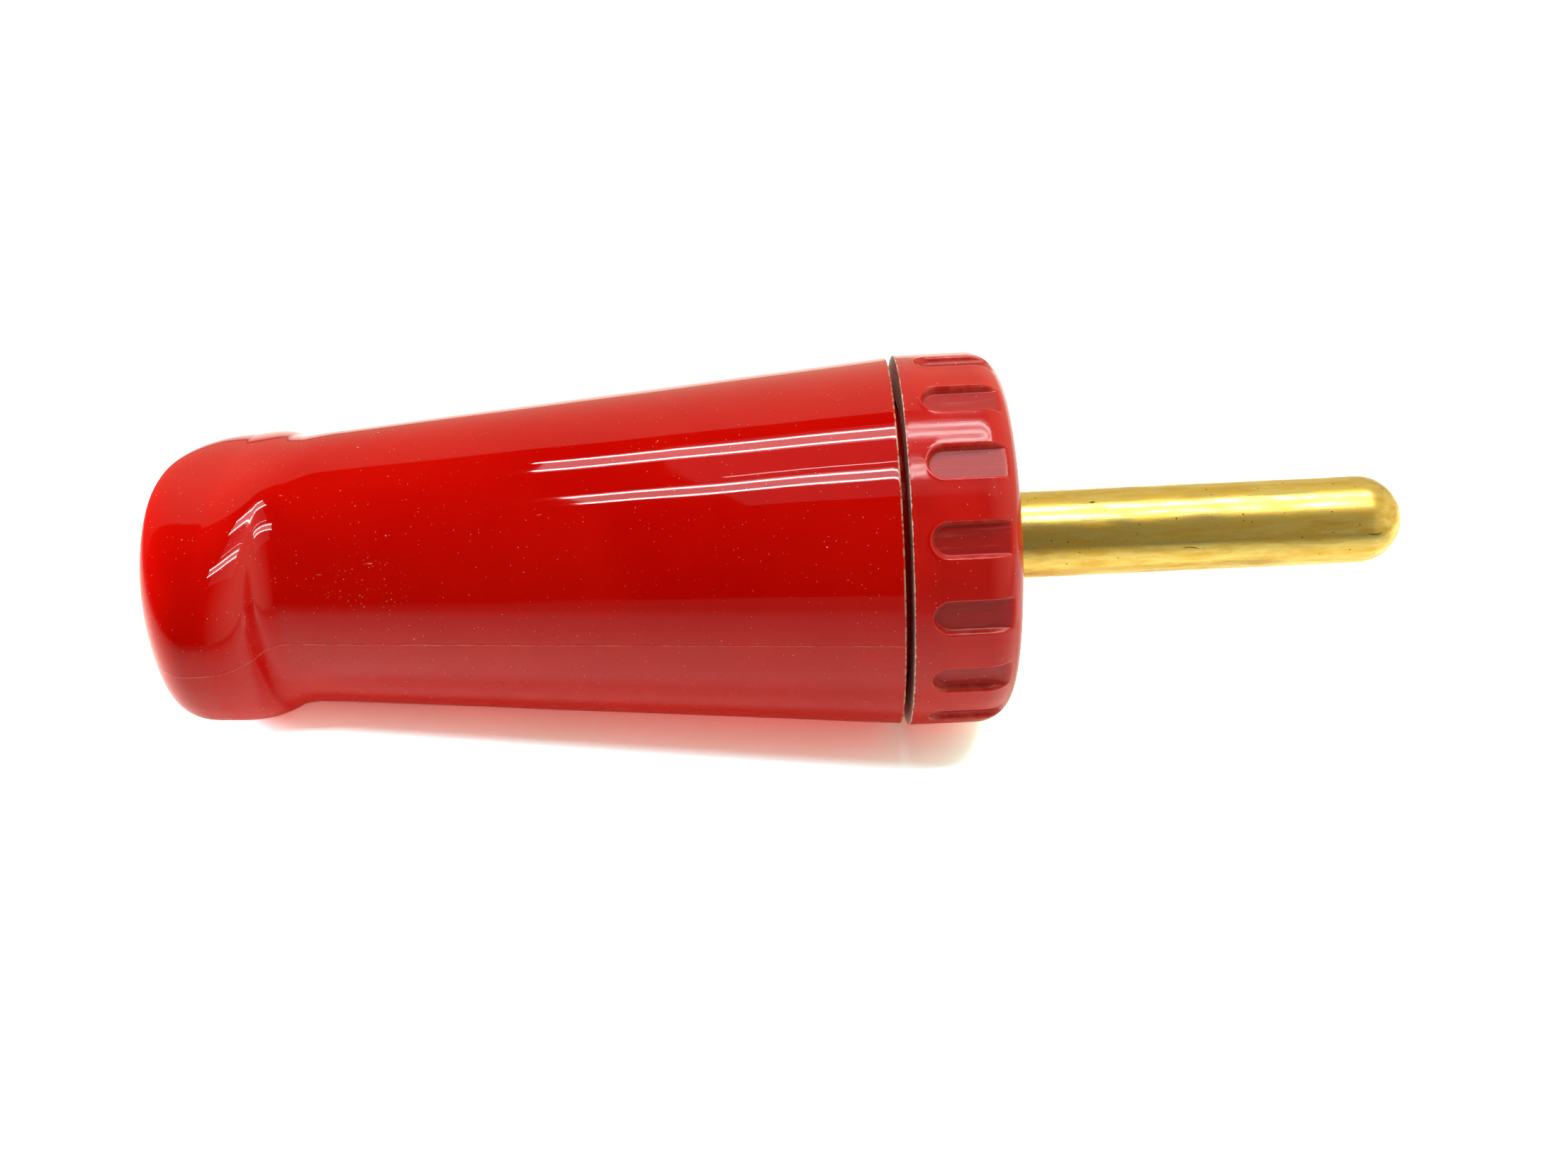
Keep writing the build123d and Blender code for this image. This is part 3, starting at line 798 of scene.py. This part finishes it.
def makeTurnedBrass(name, look):
    # Turned yellow brass: fine lathe lines round the axis, lengthwise wipe marks, slanted handling
    # scratches, a film of olive tarnish that is partly dull oxide, and dark pits
    material, tree, place = startMaterial(name)
    wiped = addNode(tree, "Mapping", {0: place, "Scale": (1 / look["smear"], 1.0, 1.0)})
    fine = {"Vector": wiped, "Scale": perMm(1.1), "Detail": 5.0, "Roughness": 0.6}
    mottle = addNode(tree, "TexNoise", fine)
    share = addNode(tree, "MapRange", {0: mottle, 1: 0.4, 2: 0.64})
    ends = {6: hexColour(look["bright"]), 7: hexColour(look["dull"])}
    colour = addNode(tree, "Mix", {0: share, **ends}, out=2, data_type="RGBA")
    film = addNode(tree, "TexNoise", {"Vector": wiped, "Scale": perMm(3), "Detail": 6.0, "Roughness": 0.65})
    film = addNode(tree, "MapRange", {0: film, 1: 0.52, 2: 0.74, 3: 0.0, 4: look["film"]})
    tarnished = {0: film, 6: colour, 7: hexColour(look["tarnish"])}
    colour = addNode(tree, "Mix", tarnished, out=2, data_type="RGBA")
    pits = specks(tree, place, 1.3, 0.17, look["pits"])
    for turn in ((0.1, 0.5, 0.4), (0.4, -0.5, -0.3)):
        scores = specks(tree, place, 1.9, 0.15, look["pits"], turn, 11.0)
        pits = addNode(tree, "Math", {0: pits, 1: scores}, operation="MAXIMUM")
    colour = addNode(tree, "Mix", {0: pits, 6: colour, 7: hexColour(look["pit"])}, out=2, data_type="RGBA")
    laid = addNode(tree, "Mapping", {0: place, "Scale": (look["lines"] * 6, 1.0, 1.0)})
    lines = addNode(tree, "TexNoise", {"Vector": laid, "Scale": perMm(6), "Detail": 3.0})
    height = addNode(tree, "Math", {0: lines, 1: 0.35, 2: mottle}, operation="MULTIPLY_ADD")
    bump = addNode(tree, "Bump", {"Strength": 0.5, "Distance": look["relief"] * mm, "Height": height})
    smooth, dull = look["roughness"]
    roughness = addNode(tree, "MapRange", {0: mottle, 1: 0.4, 2: 0.66, 3: smooth, 4: dull})
    metallic = addNode(tree, "MapRange", {0: film, 1: 0.0, 2: 1.0, 3: 1.0, 4: 0.6})
    surface = {"Base Color": colour, "Roughness": roughness, "Metallic": metallic, "Normal": bump}
    shader = addNode(tree, "BsdfPrincipled", surface)
    addNode(tree, "OutputMaterial", {0: shader})
    return material


rubberLook = {"fresh": "#1a1a1a", "bloom": "#3a3936", "roughness": (0.55, 0.8), "ior": 1.5}
fibreLook = {"fresh": "#5a2a20", "bloom": "#7d4636", "roughness": (0.6, 0.85), "ior": 1.5}


def makeMattSheet(name, look, grainSize, stretch):
    # Moulded rubber, or pressed and punched vulcanised fibre: matt, with a fine grain and a pale bloom
    material, tree, place = startMaterial(name)
    laid = addNode(tree, "Mapping", {0: place, "Scale": (1.0, 1.0, stretch)})
    grain = addNode(tree, "TexNoise", {"Vector": laid, "Scale": perMm(grainSize), "Detail": 4.0})
    bloom = addNode(tree, "TexNoise", {"Vector": place, "Scale": perMm(4), "Detail": 5.0})
    share = addNode(tree, "Math", {0: grain, 1: 0.4, 2: bloom}, operation="MULTIPLY_ADD")
    share = addNode(tree, "MapRange", {0: share, 1: 0.62, 2: 0.9})
    ends = {6: hexColour(look["fresh"]), 7: hexColour(look["bloom"])}
    colour = addNode(tree, "Mix", {0: share, **ends}, out=2, data_type="RGBA")
    smooth, dull = look["roughness"]
    roughness = addNode(tree, "MapRange", {0: grain, 1: 0.35, 2: 0.65, 3: smooth, 4: dull})
    bump = addNode(tree, "Bump", {"Strength": 0.5, "Distance": 0.04 * mm, "Height": grain})
    surface = {"Base Color": colour, "Roughness": roughness, "Normal": bump, "IOR": look["ior"]}
    shader = addNode(tree, "BsdfPrincipled", surface)
    addNode(tree, "OutputMaterial", {0: shader})
    return material


steelLook = {"bright": "#d3d6d8", "dull": "#a9adb0", "stain": "#b8ad8c", "roughness": (0.22, 0.42)}


def makeZincSteel(look):
    # Steel with a bright zinc plate: cool grey with a faint straw passivation stain and a soft satin grain
    material, tree, place = startMaterial("zincPlatedSteel")
    grain = addNode(tree, "TexNoise", {"Vector": place, "Scale": perMm(0.5), "Detail": 4.0})
    share = addNode(tree, "MapRange", {0: grain, 1: 0.4, 2: 0.62})
    ends = {6: hexColour(look["bright"]), 7: hexColour(look["dull"])}
    colour = addNode(tree, "Mix", {0: share, **ends}, out=2, data_type="RGBA")
    stain = addNode(tree, "TexNoise", {"Vector": place, "Scale": perMm(3), "Detail": 3.0})
    stain = addNode(tree, "MapRange", {0: stain, 1: 0.5, 2: 0.7, 3: 0.0, 4: 0.5})
    colour = addNode(tree, "Mix", {0: stain, 6: colour, 7: hexColour(look["stain"])}, out=2, data_type="RGBA")
    smooth, dull = look["roughness"]
    roughness = addNode(tree, "MapRange", {0: grain, 1: 0.35, 2: 0.65, 3: smooth, 4: dull})
    bump = addNode(tree, "Bump", {"Strength": 0.4, "Distance": 0.02 * mm, "Height": grain})
    surface = {"Base Color": colour, "Roughness": roughness, "Normal": bump, "Metallic": 1.0}
    shader = addNode(tree, "BsdfPrincipled", surface)
    addNode(tree, "OutputMaterial", {0: shader})
    return material


wear(gripShell, makeGlossThermoset(glossLook))
wear(ringShell, makeSatinThermoset(satinLook))
wear(pinShell, makeTurnedBrass("turnedBrass", brassLook))
mouldedRubber = makeMattSheet("mouldedRubber", rubberLook, 0.35, 1.0)
vulcanisedFibre = makeMattSheet("vulcanisedFibre", fibreLook, 0.6, 5.0)
nutBrass = makeTurnedBrass("machinedBrass", nutLook)
zincSteel = makeZincSteel(steelLook)
wear(bushShell, mouldedRubber)
nodeFinish = {
    "neck_gasket": mouldedRubber,
    "thrust_washer": vulcanisedFibre,
    "jam_nut": nutBrass,
    "cable_socket": nutBrass,
    "pressure_pad": nutBrass,
    "spring_washer": zincSteel,
    "clamp_screw_front": zincSteel,
    "clamp_screw_rear": zincSteel,
}
for node, material in nodeFinish.items():
    wear(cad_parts[node], material)
print("materials made")

# stage: pale floor, soft light, camera

stageSetup = {
    "floorSlope": 0.1,  # the object lies on its ring and collar, so its axis tilts from the floor
    "floorTouch": (ringBack, -25.4),
    "floorSize": 1.6,  # metres
    "floorColour": 0.9,
    "floorLift": 4.7,  # the camera sees the lit sheet as white, and only deep shadow shows on it
    "seenTint": (0.5, 1.0, 1.08, 1.0),  # and takes some red out of that shadow
    "bounce": 0.95,  # share for the light it throws up at the object
    # Painted light and shade on the sheet as the object mirrors it: darker towards the front and the left,
    # lighter under the object. Its share, as (from, to, share there, share there) in metres:
    # Fade and Under run across the sheet and are added, Side and Right run along it.
    "mirrorFade": (-0.18, 0.0, 0.15, 0.8),
    "mirrorUnder": (-0.072, 0.0, 0.0, 0.42),
    "mirrorSide": (-0.3, -0.13, 0.1, 1.0),  # it multiplies the two
    "mirrorRight": (0.04, 0.3, 0.0, 0.45),  # the share is at least this
    "mirrorTint": (1.0, 0.99, 0.92, 1.0),
    "lampHeight": 1.5,  # metres over the floor
    "tubeRadiance": 24.0,
    "trayRadiance": 2.5,
    "tubeWidth": 0.029,
    "tubeEnd": 0.68,
    "fan": 0.25,  # the tubes lean together towards +X
    "fixtures": (  # places of the two tubes, width of the tray, left end
        (0.336, 0.174, 0.26, -0.69),
        (-0.377, -0.512, 0.22, -0.715),
    ),
    "backdrop": 0.72,
    "backdropTint": (1.0, 0.9, 0.66, 1.0),
    "backdropEdge": (0.15, 1.0, -0.5),  # it is seen where a direction leans towards this
    "backdropSoft": 0.012,
    "backdropSide": (-0.95, 0.1, 0.03),  # from left to middle, and its strength at the left
    "room": (0.01, 0.85),  # dark on the left, lit on the right
    "roomSide": (-0.08, 0.9),
}
# The other lamps: middle, size in metres, radiance, and what else makeLamp takes. The last three only
# light the object and show in no reflection: soft light from behind, a gleam on the collar's end, and
# light thrown back under the grip.
otherLamps = {
    "rail": ((0.1, -0.23, 1.5), (1.18, 0.012), 12.0, {"turn": 0.08}),
    "paintedCeiling": ((0.32, -0.25, 1.62), (1.76, 1.5), 0.28, {}),
    "ceiling": ((-0.1, 0.35, 1.5), (0.8, 0.8), 3.2, {"target": (0, 0, 0), "glossy": False}),
    "leftGleam": (
        (-0.2, 0.01, 0.03),
        (0.03, 0.03),
        5.0,
        {"target": (-0.1, -0.004, 0.018), "glossy": False, "spread": math.radians(40)},
    ),
    "sheetGlow": ((-0.042, -0.014, 0.0006), (0.15, 0.04), 0.45, {"glossy": False, "upward": True}),
}

tilt = Matrix.Rotation(math.atan(stageSetup["floorSlope"]), 4, "Y")


def onFloor(x, y, z):
    # a point in the floor's own frame, metres, with its origin under the ring
    touch = Vector((stageSetup["floorTouch"][0] * mm, 0, stageSetup["floorTouch"][1] * mm))
    return touch + tilt @ Vector((x, y, z))


def makeFloor(s):
    half = s["floorSize"] / 2
    mesh = bpy.data.meshes.new("floor")
    corners = [onFloor(x, y, 0) for x, y in ((-half, -half), (half, -half), (half, half), (-half, half))]
    mesh.from_pydata(corners, [], [(0, 1, 2, 3)])
    floor = bpy.data.objects.new("floor", mesh)
    bpy.context.scene.collection.objects.link(floor)
    material, tree, place = startMaterial("paleSheet")
    path = addNode(tree, "LightPath", out="Is Camera Ray")
    along = addNode(tree, "SeparateXYZ", {0: place})
    across = along.node.outputs[1]
    # painted light and shade: as the object mirrors it, the sheet is darker towards the front and the left
    fades = {}
    for key, socket in (("Fade", across), ("Under", across), ("Side", along), ("Right", along)):
        start, end, dim, full = s["mirror" + key]
        fades[key] = addNode(tree, "MapRange", {0: socket, 1: start, 2: end, 3: dim, 4: full})
    mirrored = addNode(tree, "Math", {0: fades["Fade"], 1: fades["Under"]}, operation="ADD")
    mirrored = addNode(tree, "Math", {0: mirrored, 1: fades["Side"]}, operation="MULTIPLY")
    mirrored = addNode(tree, "Math", {0: mirrored, 1: fades["Right"]}, operation="MAXIMUM")
    glossy = path.node.outputs["Is Glossy Ray"]
    share = addNode(tree, "Mix", {0: glossy, 2: s["bounce"], 3: mirrored}, data_type="FLOAT")
    share = addNode(tree, "Mix", {0: path, 2: share, 3: s["floorLift"]}, data_type="FLOAT")
    share = addNode(tree, "Math", {0: share, 1: s["floorColour"]}, operation="MULTIPLY")
    tint = addNode(tree, "Mix", {0: glossy, 6: (1, 1, 1, 1), 7: s["mirrorTint"]}, out=2, data_type="RGBA")
    tint = addNode(tree, "Mix", {0: path, 6: tint, 7: s["seenTint"]}, out=2, data_type="RGBA")
    shade = addNode(tree, "VectorMath", {0: tint, "Scale": share}, operation="SCALE")
    matt = addNode(tree, "BsdfDiffuse", {"Color": shade})
    addNode(tree, "OutputMaterial", {0: matt})
    wear(floor, material)


def makeLamp(
    name, middle, size, radiance, target=None, glossy=True, turn=0.0, upward=False, spread=math.pi
):
    # an area lamp of a given radiance: power = radiance x pi x area
    light = bpy.data.lights.new(name, "AREA")
    light.shape = "RECTANGLE"
    light.size, light.size_y = size
    light.energy = radiance * math.pi * size[0] * size[1]
    light.spread = spread
    lamp = bpy.data.objects.new(name, light)
    lamp.location = onFloor(*middle)
    if target is None:
        facing = Matrix.Rotation(math.pi if upward else 0.0, 4, "X")
        lamp.rotation_euler = (tilt @ Matrix.Rotation(turn, 4, "Z") @ facing).to_euler()
    else:
        lamp.rotation_euler = (onFloor(*target) - lamp.location).to_track_quat("-Z", "Y").to_euler()
    lamp.visible_glossy = glossy
    lamp.visible_camera = False
    bpy.context.scene.collection.objects.link(lamp)


def makeWorld(s):
    # White where the camera looks. For the rest, a pale backdrop behind the object, up to a slanted edge,
    # and over and in front of it a room that is dark on the left and lit on the right.
    world = bpy.data.worlds.new("studio")
    world.use_nodes = True
    bpy.context.scene.world = world
    tree = world.node_tree
    tree.nodes.clear()
    path = addNode(tree, "LightPath", out="Is Camera Ray")
    toward = addNode(tree, "TexCoord", out="Generated")
    x = addNode(tree, "SeparateXYZ", {0: toward})
    y, z = x.node.outputs[1], x.node.outputs[2]
    slant = {0: toward, 1: s["backdropEdge"]}
    edge = addNode(tree, "VectorMath", slant, out="Value", operation="DOT_PRODUCT")
    backdrop = addNode(tree, "MapRange", {0: edge, 1: -s["backdropSoft"], 2: s["backdropSoft"]})
    left, middle, faint = s["backdropSide"]
    side = addNode(tree, "MapRange", {0: x, 1: left, 2: middle, 3: faint, 4: s["backdrop"]})
    backdrop = addNode(tree, "Math", {0: backdrop, 1: side}, operation="MULTIPLY")
    dark, lit = s["room"]
    start, end = s["roomSide"]
    room = addNode(tree, "MapRange", {0: x, 1: start, 2: end, 3: dark, 4: lit})
    around = addNode(tree, "Math", {0: backdrop, 1: room}, operation="MAXIMUM")
    clear = addNode(tree, "Math", {0: path, 1: path.node.outputs["Is Transmission Ray"]}, operation="MAXIMUM")
    strength = addNode(tree, "Mix", {0: clear, 2: around, 3: 1.0}, data_type="FLOAT")
    shades = {0: clear, 6: s["backdropTint"], 7: (1, 1, 1, 1)}
    colour = addNode(tree, "Mix", shades, out=2, data_type="RGBA")
    light = addNode(tree, "Background", {"Color": colour, "Strength": strength})
    addNode(tree, "OutputWorld", {0: light})


cameraView = {
    "lens": 34.58,
    "sensor": 36.0,
    "place": (-0.02867, -0.17724, 0.10950),  # metres
    "right": (0.99888, -0.01812, -0.04362),
    "up": (0.04639, 0.54882, 0.83465),
}


def makeCamera(s):
    camera = bpy.data.cameras.new("camera")
    camera.lens = s["lens"]
    camera.sensor_width = s["sensor"]
    camera.clip_start = 0.01
    viewer = bpy.data.objects.new("camera", camera)
    right = Vector(s["right"]).normalized()
    up = Vector(s["up"]).normalized()
    backward = right.cross(up).normalized()
    up = backward.cross(right)
    turn = Matrix((right, up, backward)).transposed().to_4x4()
    viewer.matrix_world = Matrix.Translation(s["place"]) @ turn
    bpy.context.scene.collection.objects.link(viewer)
    bpy.context.scene.camera = viewer


makeFloor(stageSetup)
for number, (far, near, tray, left) in enumerate(stageSetup["fixtures"]):
    right, height, lean = stageSetup["tubeEnd"], stageSetup["lampHeight"], stageSetup["fan"]
    middle, length, across = (left + right) / 2, right - left, (far + near) / 2
    place = (middle, across, height + 0.02)
    makeLamp(f"tray{number}", place, (length, tray), stageSetup["trayRadiance"], turn=-lean * across)
    for side, across in enumerate((far, near)):
        size = (length, stageSetup["tubeWidth"])
        radiance = stageSetup["tubeRadiance"]
        makeLamp(f"tube{number}{side}", (middle, across, height), size, radiance, turn=-lean * across)
for name, (middle, size, radiance, more) in otherLamps.items():
    makeLamp(name, middle, size, radiance, **more)
makeWorld(stageSetup)
makeCamera(cameraView)
bpy.context.scene.view_settings.view_transform = "Standard"
print("stage made")
